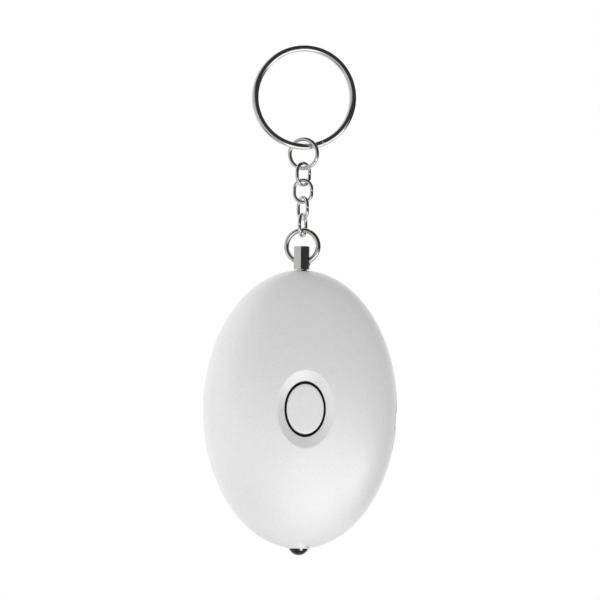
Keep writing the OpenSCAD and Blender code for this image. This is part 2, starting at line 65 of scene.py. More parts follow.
# Half width and level in mm of the boss behind the dish, the hole for the button and the foot of the dish,
# then the half width of each loop of the dish's rounded rim and how far it drops under the skin.
dish_oval = 1.343
dish_rings = [(7.65, 8.01), (4.95, 8.01), (4.95, 9.3), (4.972, 9.375), (5.03, 9.43), (5.11, 9.503)]
rim_sizes = (6.7, 6.8, 6.9)
rim_drops = (0.112, 0.05, 0.014)
skin_mouth_angle = 17.53
inside_mouth_angle = 20.85


def pick(piece):
    """Selects one piece alone."""
    bpy.ops.object.select_all(action="DESELECT")
    piece.select_set(True)
    bpy.context.view_layer.objects.active = piece


def dome_rings(wide, high, deep, first, last, count, mouth=None):
    """Edge loops over an oval dome between two angles off its middle; mouth is the oval of its opening."""
    rings = []
    for i in range(count + 1):
        angle = math.radians(first + (last - first) * i / count)
        near = math.cos(angle) ** 4 if mouth else 0
        oval = high / wide * (1 - near) + (mouth or 0) * near
        rings.append((wide * math.sin(angle), wide * math.sin(angle) * oval, deep * math.cos(angle)))
    return rings


def drawn_out(name, sides, rings):
    """A piece extruded from one edge loop: each ring is its half width, half height and level."""
    bpy.ops.object.select_all(action="DESELECT")
    bpy.ops.mesh.primitive_circle_add(vertices=sides, radius=1)
    piece = bpy.context.active_object
    piece.name = name
    bpy.ops.object.mode_set(mode="EDIT")
    bpy.ops.mesh.select_all(action="SELECT")
    bpy.ops.transform.resize(value=(rings[0][0], rings[0][1], 1), center_override=(0, 0, 0))
    bpy.ops.transform.translate(value=(0, 0, rings[0][2]))
    for last, ring in zip(rings, rings[1:]):
        bpy.ops.mesh.extrude_edges_move()
        bpy.ops.transform.resize(value=(ring[0] / last[0], ring[1] / last[1], 1), center_override=(0, 0, 0))
        bpy.ops.transform.translate(value=(0, 0, ring[2] - last[2]))
    bpy.ops.object.mode_set(mode="OBJECT")
    return piece


def close_up(piece, same_point=0.002 * mm):
    """Joins doubled points, fills open ends and turns every face outwards."""
    pick(piece)
    bpy.ops.object.mode_set(mode="EDIT")
    bpy.ops.mesh.select_all(action="SELECT")
    bpy.ops.mesh.remove_doubles(threshold=same_point)
    bpy.ops.mesh.select_all(action="DESELECT")
    bpy.ops.mesh.select_mode(type="EDGE")
    bpy.ops.mesh.select_non_manifold(extend=False)
    bpy.ops.mesh.fill_holes(sides=0)
    bpy.ops.mesh.select_all(action="SELECT")
    bpy.ops.mesh.normals_make_consistent(inside=False)
    bpy.ops.mesh.select_mode(type="VERT")
    bpy.ops.object.mode_set(mode="OBJECT")


def turned(name, sides, profile):
    """A round solid along Z, from a profile of radius and level in mm."""
    piece = drawn_out(name, sides, [(r * mm, r * mm, up * mm) for r, up in profile])
    close_up(piece)
    return piece


def settle(piece, place=(0, 0, 0), turn=(0, 0, 0), size=(1, 1, 1)):
    """Turns a piece into its place and moves that place into its mesh."""
    pick(piece)
    piece.scale = size
    piece.rotation_euler = turn
    piece.location = place
    bpy.ops.object.transform_apply(location=True, rotation=True, scale=True)


def in_case(x, y, z):
    """A place given in mm from the middle of the case."""
    return case_mid + Vector((x, y, z)) * mm


def rod(radius, length, place, turn=(0, 0, 0), sides=48):
    """A round tool or post, along Z before it is turned."""
    bpy.ops.object.select_all(action="DESELECT")
    bpy.ops.mesh.primitive_cylinder_add(vertices=sides, radius=radius, depth=length)
    made = bpy.context.active_object
    settle(made, place, turn)
    return made


def stud(radius, x, z, front, rear):
    """A round tool or post in the case that runs from front to rear, in mm."""
    return rod(radius * mm, (rear - front) * mm, in_case(x, (front + rear) / 2, z), to_rear)


def block(size, place, turn=(0, 0, 0)):
    """A square tool or rib about its middle."""
    bpy.ops.object.select_all(action="DESELECT")
    bpy.ops.mesh.primitive_cube_add(size=1)
    made = bpy.context.active_object
    settle(made, place, turn, size)
    return made


def joined(pieces):
    """Several meshes as one."""
    bpy.ops.object.select_all(action="DESELECT")
    for piece in pieces:
        piece.select_set(True)
    bpy.context.view_layer.objects.active = pieces[0]
    bpy.ops.object.join()
    return pieces[0]


def carve(piece, tool, operation, crossing=False):
    """Cuts a tool out of a piece, welds it on or keeps what both share; the tool is used up."""
    bpy.context.view_layer.objects.active = piece
    cut = piece.modifiers.new("cut", "BOOLEAN")
    cut.operation = operation
    cut.object = tool
    cut.solver = "EXACT"
    cut.use_self = crossing
    bpy.ops.object.modifier_apply(modifier=cut.name)
    bpy.data.objects.remove(tool, do_unlink=True)


def lay_on_case(vertices, lift):
    """Puts points at a height over or under the outside of the case, before it is turned into place."""
    for vertex in vertices:
        share = 1 - (vertex.co.x / case_wide) ** 2 - (vertex.co.y / case_high) ** 2
        vertex.co.z = case_deep * math.sqrt(max(share, 0)) + lift


def case_slope(point):
    """Which way the outside of the case faces near a point, and how deep the point lies under it."""
    at = point - case_mid
    slope = Vector((at.x / case_wide ** 2, at.y / case_deep ** 2, at.z / case_high ** 2))
    reach = math.sqrt(at.dot(slope))
    return slope.normalized(), (1 - reach) * reach / max(slope.length, 1e-9)


front_inside = dome_rings(inner_wide, inner_high, inner_deep, 90, inside_mouth_angle, 16, dish_oval)
front_skin = dome_rings(case_wide, case_high, case_deep, skin_mouth_angle, seam_angle, 44, dish_oval)
front_rings = [front_inside[-1]]
front_rings += [(r * mm, r * mm * dish_oval, up * mm) for r, up in dish_rings]
front_rings += [(r * mm, r * mm * dish_oval, case_deep) for r in rim_sizes]
front_rings += front_skin
front_rings += [
    (case_wide - seam_ease, case_high - seam_ease, 0),
    (tongue_wide, tongue_high, 0),
    (tongue_wide, tongue_high, -tongue_long),
    (inner_wide, inner_high, -tongue_long),
]
front_rings += front_inside
front_shell = drawn_out("case_front", oval_sides, front_rings)
rim_first = 1 + len(dish_rings)
for number, drop in enumerate(rim_drops, rim_first):
    ring_from = number * oval_sides
    lay_on_case(front_shell.data.vertices[ring_from:ring_from + oval_sides], -drop * mm)
skin_from = (rim_first + len(rim_drops)) * oval_sides
skin_to = skin_from + len(front_skin) * oval_sides
lay_on_case(front_shell.data.vertices[skin_from:skin_to], 0)
close_up(front_shell)
settle(front_shell, case_mid, to_front)

# Posts, props, ribs and fences inside hold the board, the screws and the cells. Each runs past the inside of
# the shell and is trimmed to it. Places are in mm from the middle of the case.
post_places = [(15.5, 13), (-15.5, 13), (12.5, -21.5), (-12.5, -21.5)]
post_radius = 3
post_front = -11.31
nose_radius = 2.2
nose_front = -10.15
nose_end = -0.15
pilot_radius = 1.05
pilot_front = -4.6
pilot_end = 1
prop_places = [(-9, -5), (9, -5)]
prop_radius = 1.5
board_front = -3.31
rib_sides = (-4, 4)
rib_up = -15.7
rib_back = 6.3
rib_size = Vector((1.2, 9.4, 11.6)) * mm
cell_line = -14.5
fence_sides = (-12.1, 9.05)
fence_back = -4.5
fence_size = Vector((1.2, 13, 7)) * mm
front_works = []
for x, z in post_places:
    front_works.append(stud(post_radius, x, z, post_front, board_front))
    front_works.append(stud(nose_radius, x, z, nose_front, nose_end))
for x, z in prop_places:
    front_works.append(stud(prop_radius, x, z, post_front, board_front))
for x in rib_sides:
    front_works.append(block(rib_size, in_case(x, -rib_back, rib_up)))
for x in fence_sides:
    front_works.append(block(fence_size, in_case(x, fence_back, cell_line)))
front_works = joined(front_works)


def inner_oval():
    """A solid the shape of the case out to the middle of its wall, to trim what stands inside."""
    bpy.ops.object.select_all(action="DESELECT")
    bpy.ops.mesh.primitive_uv_sphere_add(segments=96, ring_count=48, radius=1)
    made = bpy.context.active_object
    inset = shell_wall / 2
    settle(made, case_mid, size=(case_wide - inset, case_deep - inset, case_high - inset))
    return made


def cell_space(radius=5.9 * mm, long=15 * mm):
    """The round bed of the three cells, along X."""
    return rod(radius, long, in_case(0, 0, cell_line), sideways, 64)


carve(front_works, inner_oval(), "INTERSECT", True)
carve(front_works, cell_space(), "DIFFERENCE")
carve(front_shell, front_works, "UNION")


def lamp_collar(side):
    """The half ring that each shell puts round the lamp; it flares into the curve of the case."""
    collar_end = -33.2
    collar_root = -27.5
    core = 1
    sweep = [(2.75, collar_end), (2.85, -33.12), (2.88, -32.6), (3.02, -32.2)]
    sweep += [(3.3, -31.75), (3.7, -31.3), (4.2, -30.7), (4.2, collar_root)]
    collar = turned("lamp_collar", 96, [(core, collar_end)] + sweep + [(core, collar_root)])
    settle(collar, case_mid)
    half = Vector((10, 5, 10))
    half_mid = in_case(0, side * half.y / 2, (collar_end + collar_root) / 2)
    carve(collar, block(half * mm, half_mid), "INTERSECT")
    return collar


def end_holes():
    """The tools for the hole of the pull pin at the top and of the lamp at the bottom."""
    pin_radius = 1.45 * mm
    pin_long = 8 * mm
    pin_up = 31.3
    lamp_radius = 2.6 * mm
    lamp_long = 9.4 * mm
    lamp_up = -31.1
    pin_hole = rod(pin_radius, pin_long, in_case(0, 0, pin_up))
    lamp_hole = rod(lamp_radius, lamp_long, in_case(0, 0, lamp_up), sides=64)
    return joined([pin_hole, lamp_hole])


carve(front_shell, lamp_collar(-1), "UNION")
carve(front_shell, end_holes(), "DIFFERENCE")
pilot_holes = [stud(pilot_radius, x, z, pilot_front, pilot_end) for x, z in post_places]
carve(front_shell, joined(pilot_holes), "DIFFERENCE")

# A flat in the right edge lets a coin prise the two shells apart.
prise_up = -2.4
prise_mid = in_case(23.24, 0, prise_up)
prise_turn = (0, math.radians(2.9), 0)
prise_deep = 0.9
prise_long = 15


def prise_tool(long, front, rear, thick=4):
    """A tool that cuts into the right edge over a length, from front to rear, in mm."""
    off_edge = Vector((thick / 2 - prise_deep, (front + rear) / 2, 0)) * mm
    return block(Vector((thick, rear - front, long)) * mm, prise_mid + off_edge, prise_turn)


carve(front_shell, prise_tool(prise_long, front=-12, rear=0), "DIFFERENCE")


def smooth_over(piece, crease):
    """Smooth shading up to an angle, weighted so that large faces stay even."""
    pick(piece)
    bpy.ops.object.shade_smooth_by_angle(angle=math.radians(crease))
    weight = piece.modifiers.new("weight", "WEIGHTED_NORMAL")
    weight.keep_sharp = True
    bpy.ops.object.modifier_apply(modifier=weight.name)


def dress_shell(piece, outside, inside):
    """Paint outside, bare black plastic inside that also serves as painted shade in gaps and recesses, and
    shading that follows the true curve of the case.
    """
    paint_reach = 0.3 * mm
    dish_front = -9.25
    flat_from = 21
    flat_half = prise_long / 2 + 0.2
    flat_reach = 1.2 * mm
    skin_reach = 0.004 * mm
    mesh = piece.data
    mesh.materials.append(outside)
    mesh.materials.append(inside)
    for face in mesh.polygons:
        depth = case_slope(face.center)[1]
        at = (face.center - case_mid) / mm
        in_dish = at.y < dish_front and math.hypot(at.x, at.z / dish_oval) < rim_sizes[-1]
        at_flat = at.x > flat_from and abs(at.z - prise_up) < flat_half and depth < flat_reach
        # Faces deeper than the paint reach get the black, which also paints shade into gaps, slots and wells.
        face.material_index = 0 if depth < paint_reach or in_dish or at_flat else 1
    smooth_over(piece, crease=28)
    normals = [corner.vector.copy() for corner in mesh.corner_normals]
    for face in mesh.polygons:
        slopes = [case_slope(mesh.vertices[i].co) for i in face.vertices]
        if all(abs(slope[1]) < skin_reach for slope in slopes):
            for corner, slope in zip(face.loop_indices, slopes):
                normals[corner] = slope[0]
    mesh.normals_split_custom_set(normals)


def linear(hex_colour):
    """The linear colour that Blender's sockets take, from an sRGB hex value."""
    parts = [int(hex_colour[i:i + 2], 16) / 255 for i in (1, 3, 5)]
    return tuple(p / 12.92 if p <= 0.04045 else ((p + 0.055) / 1.055) ** 2.4 for p in parts) + (1,)


def add_node(tree, kind, inputs=None, **settings):
    """One shader node with its settings, its input values and the links that come into it."""
    made = tree.nodes.new(kind)
    for name, value in settings.items():
        setattr(made, name, value)
    for name, value in (inputs or {}).items():
        if isinstance(value, bpy.types.NodeSocket):
            tree.links.new(value, made.inputs[name])
        else:
            made.inputs[name].default_value = value
    return made


def new_finish(name, values):
    """A material with the given values on its main shader, and that shader's tree and node."""
    made = bpy.data.materials.new(name)
    made.use_nodes = True
    shader = made.node_tree.nodes["Principled BSDF"]
    for socket, value in values.items():
        shader.inputs[socket].default_value = value
    return made, made.node_tree, shader


def vary_finish(tree, shader, pattern, dark, pale, rough=None, spread=(0, 1)):
    """Lets a pattern move the colour and, where given, the roughness; gives back the colour's node."""
    tone = add_node(
        tree,
        "ShaderNodeMixRGB",
        {"Fac": pattern, "Color1": linear(dark), "Color2": linear(pale)},
    )
    tree.links.new(tone.outputs["Color"], shader.inputs["Base Color"])
    if rough:
        dullness = add_node(
            tree,
            "ShaderNodeMapRange",
            {
                "Value": pattern,
                "From Min": spread[0],
                "From Max": spread[1],
                "To Min": rough[0],
                "To Max": rough[1],
            },
        )
        tree.links.new(dullness.outputs["Result"], shader.inputs["Roughness"])
    return tone


# Satin silver lacquer with aluminium flake, sprayed on ABS: an even pale grey that lightens towards the
# light, with a faint speckle. The flake is about 0.03 mm, too fine to show, so it is drawn at 0.4 mm.
silver_lacquer, tree, shader = new_finish(
    "satin_silver_lacquer_on_abs",
    {"Metallic": 0.4, "Coat Weight": 0.3, "Coat Roughness": 0.3},
)
flake_size = 0.4 * mm
ripple_size = 1.5 * mm
place = add_node(tree, "ShaderNodeTexCoord").outputs["Object"]
flake = add_node(tree, "ShaderNodeTexNoise", {"Vector": place, "Scale": 1 / flake_size, "Detail": 3})
vary_finish(tree, shader, flake.outputs["Fac"], "#D2D2D2", "#E5E5E5", (0.4, 0.48), (0.3, 0.7))
ripple = add_node(tree, "ShaderNodeTexNoise", {"Vector": place, "Scale": 1 / ripple_size, "Detail": 2})
relief = add_node(
    tree,
    "ShaderNodeBump",
    {"Height": ripple.outputs["Fac"], "Strength": 0.12, "Distance": 0.03 * mm},
)
tree.links.new(relief.outputs["Normal"], shader.inputs["Normal"])

# Black ABS as it leaves the mould: dark, with the dull fine grain of a spark-eroded tool, about 0.25 mm.
# Laid on every face deeper than 0.3 mm under the skin, it is also painted shade in the button gap, slots and
# wells.
black_abs_and_shade, tree, shader = new_finish("bare_black_abs_and_recess_shade", {"IOR": 1.54})
spark_grain = 0.25 * mm
place = add_node(tree, "ShaderNodeTexCoord").outputs["Object"]
grain = add_node(tree, "ShaderNodeTexNoise", {"Vector": place, "Scale": 1 / spark_grain, "Detail": 2})
vary_finish(tree, shader, grain.outputs["Fac"], "#0D0D0E", "#1B1B1D", (0.45, 0.65))
relief = add_node(
    tree,
    "ShaderNodeBump",
    {"Height": grain.outputs["Fac"], "Strength": 0.3, "Distance": 0.01 * mm},
)
tree.links.new(relief.outputs["Normal"], shader.inputs["Normal"])
dress_shell(front_shell, silver_lacquer, black_abs_and_shade)
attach(front_shell, "case")
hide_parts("front_shell")

# Lamp button
# Oval cap moulded in ABS and sprayed with the case. Its rounded edge stands a little proud of the dish,
# and the flange behind the front shell keeps it in.
button_oval = 1.345
button_half = 4.45
flange_half = 5.6
flange_rear = 7.11
flange_front = 7.91
edge_round = 0.4
edge_level = 9.46
face_half = button_half - edge_round
face_level = edge_level + edge_round
face_swell = 0.05
paint_from = 9.3 * mm
button_rings = [(0.3, flange_rear), (flange_half, flange_rear), (flange_half, flange_front)]
button_rings += [(button_half, up) for up in (flange_front, 9.2, edge_level)]
for step in range(1, 7):
    angle = math.radians(90 * step / 6)
    button_rings.append((face_half + edge_round * math.cos(angle), edge_level + edge_round * math.sin(angle)))
for r in (3.7, 3, 2.2, 1.3, 0.5):
    button_rings.append((r, face_level + face_swell * (1 - (r / face_half) ** 2)))
extra_high = button_half * (button_oval - 1)
button_rings = [(r * mm, (r + extra_high * min(1, r)) * mm, up * mm) for r, up in button_rings]
lamp_button = drawn_out("lamp_button", 96, button_rings)
close_up(lamp_button)
settle(lamp_button, case_mid, to_front)
lamp_button.data.materials.append(silver_lacquer)
lamp_button.data.materials.append(black_abs_and_shade)
# Below the dish floor the button is left black ABS, which is partly painted shade for the gap round it.
for face in lamp_button.data.polygons:
    face.material_index = 0 if face.center.y < -paint_from else 1
bpy.ops.object.shade_smooth_by_angle(angle=math.radians(35))
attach(lamp_button, "button")
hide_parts("light_button")

# Circuit board
# Glass cloth in epoxy, 1.2 mm thick, covered with green solder mask and cut to the inside of the case.
# It lies on the posts of the front shell and carries the switch, the coil and the sound circuit.


def finish_nodes(material, *names):
    """Gives a finish to pieces whose CAD shape stays."""
    for name in names:
        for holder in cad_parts[name].material_slots:
            holder.material = material


# Green solder mask over glass cloth: glossy, with the 0.5 mm weave just showing through.
green_mask, tree, shader = new_finish("green_solder_mask", {"Roughness": 0.3, "IOR": 1.5})
place = add_node(tree, "ShaderNodeTexCoord").outputs["Object"]
flat_on = add_node(tree, "ShaderNodeMapping", {"Vector": place, "Rotation": (math.radians(90), 0, 0)})
weave = add_node(
    tree,
    "ShaderNodeTexBrick",
    {
        "Vector": flat_on.outputs["Vector"],
        "Color1": linear("#14562F"),
        "Color2": linear("#1B6438"),
        "Mortar": linear("#0F4526"),
        "Scale": 1 / (1 * mm),
        "Mortar Size": 0.03,
        "Row Height": 0.5,
        "Brick Width": 0.5,
    },
)
tree.links.new(weave.outputs["Color"], shader.inputs["Base Color"])
finish_nodes(green_mask, "circuit_board")

# Switch, pin socket and transistor
# Glass-filled nylon and epoxy mouldings: the push switch under the button and its plunger, the socket that
# the pull pin plugs into, the transistor and the drop of resin over the sound chip.

# Moulded black nylon and epoxy: dark grey with a fine dull grain of about 0.2 mm.
black_nylon, tree, shader = new_finish("black_glass_filled_nylon", {"IOR": 1.53})
fibre_grain = 0.2 * mm
place = add_node(tree, "ShaderNodeTexCoord").outputs["Object"]
grain = add_node(tree, "ShaderNodeTexNoise", {"Vector": place, "Scale": 1 / fibre_grain, "Detail": 3})
vary_finish(tree, shader, grain.outputs["Fac"], "#161617", "#28282A", (0.4, 0.6))
finish_nodes(black_nylon, "switch_base", "switch_plunger", "pin_socket", "driver_chip", "transistor")

# Step-up coil
# Enamelled copper wire wound on a drum of pressed ferrite, which is soldered to the board. It raises the
# voltage of the cells for the sounder.

# Pressed and fired ferrite: charcoal, dull, speckled at about 0.3 mm.
ferrite, tree, shader = new_finish("fired_ferrite", {"IOR": 1.8})
speckle_size = 0.3 * mm
place = add_node(tree, "ShaderNodeTexCoord").outputs["Object"]
speckle = add_node(tree, "ShaderNodeTexNoise", {"Vector": place, "Scale": 1 / speckle_size, "Detail": 4})
vary_finish(tree, shader, speckle.outputs["Fac"], "#252526", "#3E3D3C", (0.55, 0.8))
finish_nodes(ferrite, "boost_core")

# Enamelled copper wire of 0.25 mm laid side by side. A wave paints each turn bright on its ridge as painted
# highlight and dark between turns as painted shade, and also raises the ridges. A wave at scale 1 repeats
# every pi / 10 of a metre.
copper_wire, tree, shader = new_finish(
    "enamelled_copper_wire",
    {"Metallic": 1, "Roughness": 0.3, "Coat Weight": 0.4},
)
copper_thick = 0.25 * mm
place = add_node(tree, "ShaderNodeTexCoord").outputs["Object"]
turns = add_node(
    tree,
    "ShaderNodeTexWave",
    {"Vector": place, "Scale": math.pi / 10 / copper_thick, "Distortion": 0},
    bands_direction="Y",
    wave_profile="SIN",
)
# Painted highlight and shade: the colour runs from dark between the turns to bright on each ridge.
vary_finish(tree, shader, turns.outputs["Fac"], "#6E3517", "#C97B48")
ridges = add_node(
    tree,
    "ShaderNodeBump",
    {"Height": turns.outputs["Fac"], "Strength": 0.8, "Distance": 0.06 * mm},
)
tree.links.new(ridges.outputs["Normal"], shader.inputs["Normal"])
finish_nodes(copper_wire, "boost_winding")

# Chip resistors and capacitors
# Small blocks of fired ceramic that set the tone and the timing of the sound circuit. They are soldered flat
# on the back of the board.

# Fired tan ceramic: matt, slightly cloudy at about 0.6 mm.
chip_ceramic, tree, shader = new_finish("tan_chip_ceramic", {"Roughness": 0.5, "IOR": 1.6})
cloud_size = 0.6 * mm
place = add_node(tree, "ShaderNodeTexCoord").outputs["Object"]
cloud = add_node(tree, "ShaderNodeTexNoise", {"Vector": place, "Scale": 1 / cloud_size, "Detail": 3})
vary_finish(tree, shader, cloud.outputs["Fac"], "#A58C6C", "#BCA584")
finish_nodes(chip_ceramic, "chip_parts")

# Lamp
# White light-emitting diode of the common 5 mm size, cast in clear epoxy and unlit, so the lens looks dark.
# The collar of the case holds it, and its two tinned legs run round the cells to the board.

# Cast epoxy over the dark inside of an unlit lamp: near black, very glossy, a little uneven at about 1 mm.
# The near black is painted shade for the shaded inside that shows through the clear epoxy.
# A pale spot of 0.6 mm is painted on as a highlight, where the post of its frame glints through.
lamp_epoxy, tree, shader = new_finish("cast_lamp_epoxy", {"IOR": 1.54, "Specular IOR Level": 0.3})
uneven_size = 1 * mm
glint_half = 0.3 * mm
glint_side = 0.35 * mm
glint_up = -118.9 * mm
place = add_node(tree, "ShaderNodeTexCoord").outputs["Object"]
uneven = add_node(tree, "ShaderNodeTexNoise", {"Vector": place, "Scale": 1 / uneven_size, "Detail": 2})
tone = vary_finish(tree, shader, uneven.outputs["Fac"], "#08080B", "#131318", (0.04, 0.1))
to_glint = add_node(
    tree,
    "ShaderNodeMapping",
    {
        "Vector": place,
        "Scale": (1 / glint_half, 0, 1 / glint_half),
        "Location": (-glint_side / glint_half, 0, -glint_up / glint_half),
    },
)
off_glint = add_node(tree, "ShaderNodeVectorMath", {0: to_glint.outputs["Vector"]}, operation="LENGTH")
# Painted highlight: full at the middle of the spot, fading out by 1.5 times its half size.
post = add_node(
    tree,
    "ShaderNodeMapRange",
    {"Value": off_glint.outputs["Value"], "From Min": 0.3, "From Max": 1.5, "To Min": 1, "To Max": 0},
)
tone = add_node(
    tree,
    "ShaderNodeMixRGB",
    {"Fac": post.outputs["Result"], "Color1": tone.outputs["Color"], "Color2": linear("#ECECF0")},
)
tree.links.new(tone.outputs["Color"], shader.inputs["Base Color"])
finish_nodes(lamp_epoxy, "led_lens")

# Cells, contacts and screws
# Three button cells in a row, held between a spring plate and a flat plate of nickel-plated steel. Four
# self-tapping screws of zinc-plated steel close the case from the rear.

# Bright nickel-plated sheet and wire: grey metal with fine rolling lines about 0.15 mm apart.
plated_steel, tree, shader = new_finish("nickel_plated_steel", {"Metallic": 1})
line_apart = 0.15 * mm
place = add_node(tree, "ShaderNodeTexCoord").outputs["Object"]
rolled_long = add_node(tree, "ShaderNodeMapping", {"Vector": place, "Scale": (1, 1, 0.08)})
rolling = add_node(
    tree,
    "ShaderNodeTexNoise",
    {"Vector": rolled_long.outputs["Vector"], "Scale": 1 / line_apart, "Detail": 2},
)
vary_finish(tree, shader, rolling.outputs["Fac"], "#A9A8A4", "#C9C8C4", (0.2, 0.42))
finish_nodes(plated_steel, "battery_plate", "battery_spring_plate", "battery_spring")
finish_nodes(plated_steel, "led_leads", "case_screws")

# Drawn and nickel-plated cell cans: brighter than the contacts, faintly scratched at about 0.5 mm.
cell_nickel, tree, shader = new_finish("drawn_nickel_cell_can", {"Metallic": 1})
scuff_size = 0.5 * mm
place = add_node(tree, "ShaderNodeTexCoord").outputs["Object"]
scuff = add_node(tree, "ShaderNodeTexNoise", {"Vector": place, "Scale": 1 / scuff_size, "Detail": 6})
vary_finish(tree, shader, scuff.outputs["Fac"], "#BDBBB6", "#D6D4CF", (0.15, 0.35))
finish_nodes(cell_nickel, "battery_cell_1", "battery_cell_2", "battery_cell_3")

# Sounder
# Thin brass plate with a disc of silvered ceramic bonded to its inner side. It rests on a ring in the rear
# shell behind the sound slots, and two insulated wires join it to the board.

# Rolled brass: warm yellow metal, dulled in soft patches of about 2 mm; also the leaf contacts of the pin.
rolled_brass, tree, shader = new_finish("rolled_brass", {"Metallic": 1})
patch_size = 2 * mm
place = add_node(tree, "ShaderNodeTexCoord").outputs["Object"]
tarnish = add_node(tree, "ShaderNodeTexNoise", {"Vector": place, "Scale": 1 / patch_size, "Detail": 5})
vary_finish(tree, shader, tarnish.outputs["Fac"], "#A8853F", "#D2B065", (0.25, 0.5))
finish_nodes(rolled_brass, "piezo_plate", "socket_contacts")

# Fired ceramic under a thin silver print: off-white and matt, with a faint grain of about 0.4 mm.
silvered_ceramic, tree, shader = new_finish("silvered_ceramic", {"Roughness": 0.6})
print_grain = 0.4 * mm
place = add_node(tree, "ShaderNodeTexCoord").outputs["Object"]
grain = add_node(tree, "ShaderNodeTexNoise", {"Vector": place, "Scale": 1 / print_grain, "Detail": 3})
vary_finish(tree, shader, grain.outputs["Fac"], "#D9D6CE", "#E9E7E1")
finish_nodes(silvered_ceramic, "piezo_ceramic")

# Red PVC insulation: soft satin, with the slight waviness of an extruded skin, about 0.8 mm.
red_pvc, tree, shader = new_finish("red_pvc_insulation", {"Roughness": 0.45})
wave_size = 0.8 * mm
place = add_node(tree, "ShaderNodeTexCoord").outputs["Object"]
waviness = add_node(tree, "ShaderNodeTexNoise", {"Vector": place, "Scale": 1 / wave_size, "Detail": 2})
vary_finish(tree, shader, waviness.outputs["Fac"], "#8E1B1A", "#A92522")
finish_nodes(red_pvc, "piezo_wires")

# Rear shell
# The other half of the case, moulded and sprayed like the front. Five sound slots open onto the sounder, four
# wells take the screws, and a slot beside the flat of the front shell takes a coin.
tongue_play = 0.1 * mm
groove_wide = tongue_wide + tongue_play
groove_high = tongue_high + tongue_play
groove_deep = tongue_long + tongue_play
groove_angle = 83.1
skin_pole_angle = 1.2
inside_pole_angle = 2
rear_rings = dome_rings(case_wide, case_high, case_deep, skin_pole_angle, seam_angle, 52)
rear_rings += [
    (case_wide - seam_ease, case_high - seam_ease, 0),
    (groove_wide, groove_high, 0),
    (groove_wide, groove_high, groove_deep),
]
rear_rings += dome_rings(inner_wide, inner_high, inner_deep, groove_angle, inside_pole_angle, 16)
rear_shell = drawn_out("case_rear", oval_sides, rear_rings)
close_up(rear_shell)
settle(rear_shell, case_mid, to_rear)

# The ring that seats the sounder, the screw posts and the ribs of the cells stand on the inside.
sound_up = 5
seat_outer = 14.8
seat_inner = 12
seat_plate = 13.7
seat_front = 4.3
seat_step = 5.1
seat_rear = 12
seat_profile = [(seat_outer, seat_front), (seat_outer, seat_rear), (seat_inner, seat_rear)]
seat_profile += [(seat_inner, seat_step), (seat_plate, seat_step), (seat_plate, seat_front)]
sounder_seat = turned("sounder_seat", 96, seat_profile + seat_profile[:1])
settle(sounder_seat, in_case(0, 0, sound_up), to_rear)
rear_post_radius = 3.3
rear_post_front = 0.1
rear_post_end = 11.1
rear_works = [sounder_seat]
for x, z in post_places:
    rear_works.append(stud(rear_post_radius, x, z, rear_post_front, rear_post_end))
for x in rib_sides:
    rear_works.append(block(rib_size, in_case(x, rib_back, rib_up)))
rear_works = joined(rear_works)
carve(rear_works, inner_oval(), "INTERSECT", True)
carve(rear_works, cell_space(), "DIFFERENCE")
carve(rear_shell, rear_works, "UNION")
carve(rear_shell, lamp_collar(1), "UNION")
carve(rear_shell, end_holes(), "DIFFERENCE")


def mouth_tool(name, radius, long, x, z, floor):
    """A tool for a slot or well in the rear shell, flared at its mouth so that the edge comes out eased."""
    end_steps = 16
    side_steps = 10
    flare = 0.3 * mm
    flare_under = 0.18 * mm
    flare_over = 0.12 * mm
    tool_top = 12 * mm
    outline = []
    half = long / 2 - radius
    for end in (1, -1):
        for step in range(end_steps + 1):
            angle = math.radians(180 * step / end_steps - 90)
            outline.append((end * half, end * math.cos(angle), end * math.sin(angle)))
        if half > 0.1 * mm:
            outline += [(end * half * (1 - 2 * step / side_steps), 0, end) for step in range(1, side_steps)]
        else:
            outline.pop()
    around = len(outline)
    tool = drawn_out(name, around, [(radius, radius, up) for up in (floor, case_deep, case_deep, tool_top)])
    for number, vertex in enumerate(tool.data.vertices):
        level, spot = divmod(number, around)
        mid, across, along = outline[spot]
        reach = radius + (flare if level > 1 else 0)
        vertex.co.x = x + mid + across * reach
        vertex.co.y = -z - along * reach
    lay_on_case(tool.data.vertices[around:2 * around], -flare_under)
    lay_on_case(tool.data.vertices[2 * around:3 * around], flare_over)
    close_up(tool)
    settle(tool, case_mid, to_rear)
    return tool


slot_radius = 0.65 * mm
slot_lengths = (8, 12, 14, 12, 8)
slot_low = -1
slot_pitch = 3
slot_floor = 4 * mm
well_radius = 2.2 * mm
well_floor = 2.6 * mm
coin_long = 3.6
screw_radius = 1.15
screw_front = -1
screw_rear = 4
rear_mouths = []
for number, long in enumerate(slot_lengths):
    slot_up = slot_low + slot_pitch * number
    rear_mouths.append(mouth_tool("sound_slot", slot_radius, long * mm, 0, slot_up * mm, slot_floor))
for x, z in post_places:
    rear_mouths.append(mouth_tool("screw_well", well_radius, 2 * well_radius, x * mm, z * mm, well_floor))
carve(rear_shell, joined(rear_mouths), "DIFFERENCE")
screw_holes = [stud(screw_radius, x, z, screw_front, screw_rear) for x, z in post_places]
carve(rear_shell, joined(screw_holes), "DIFFERENCE")
carve(rear_shell, prise_tool(coin_long, front=-1.2, rear=0.8), "DIFFERENCE")
dress_shell(rear_shell, silver_lacquer, black_abs_and_shade)
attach(rear_shell, "case")
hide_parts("rear_shell")

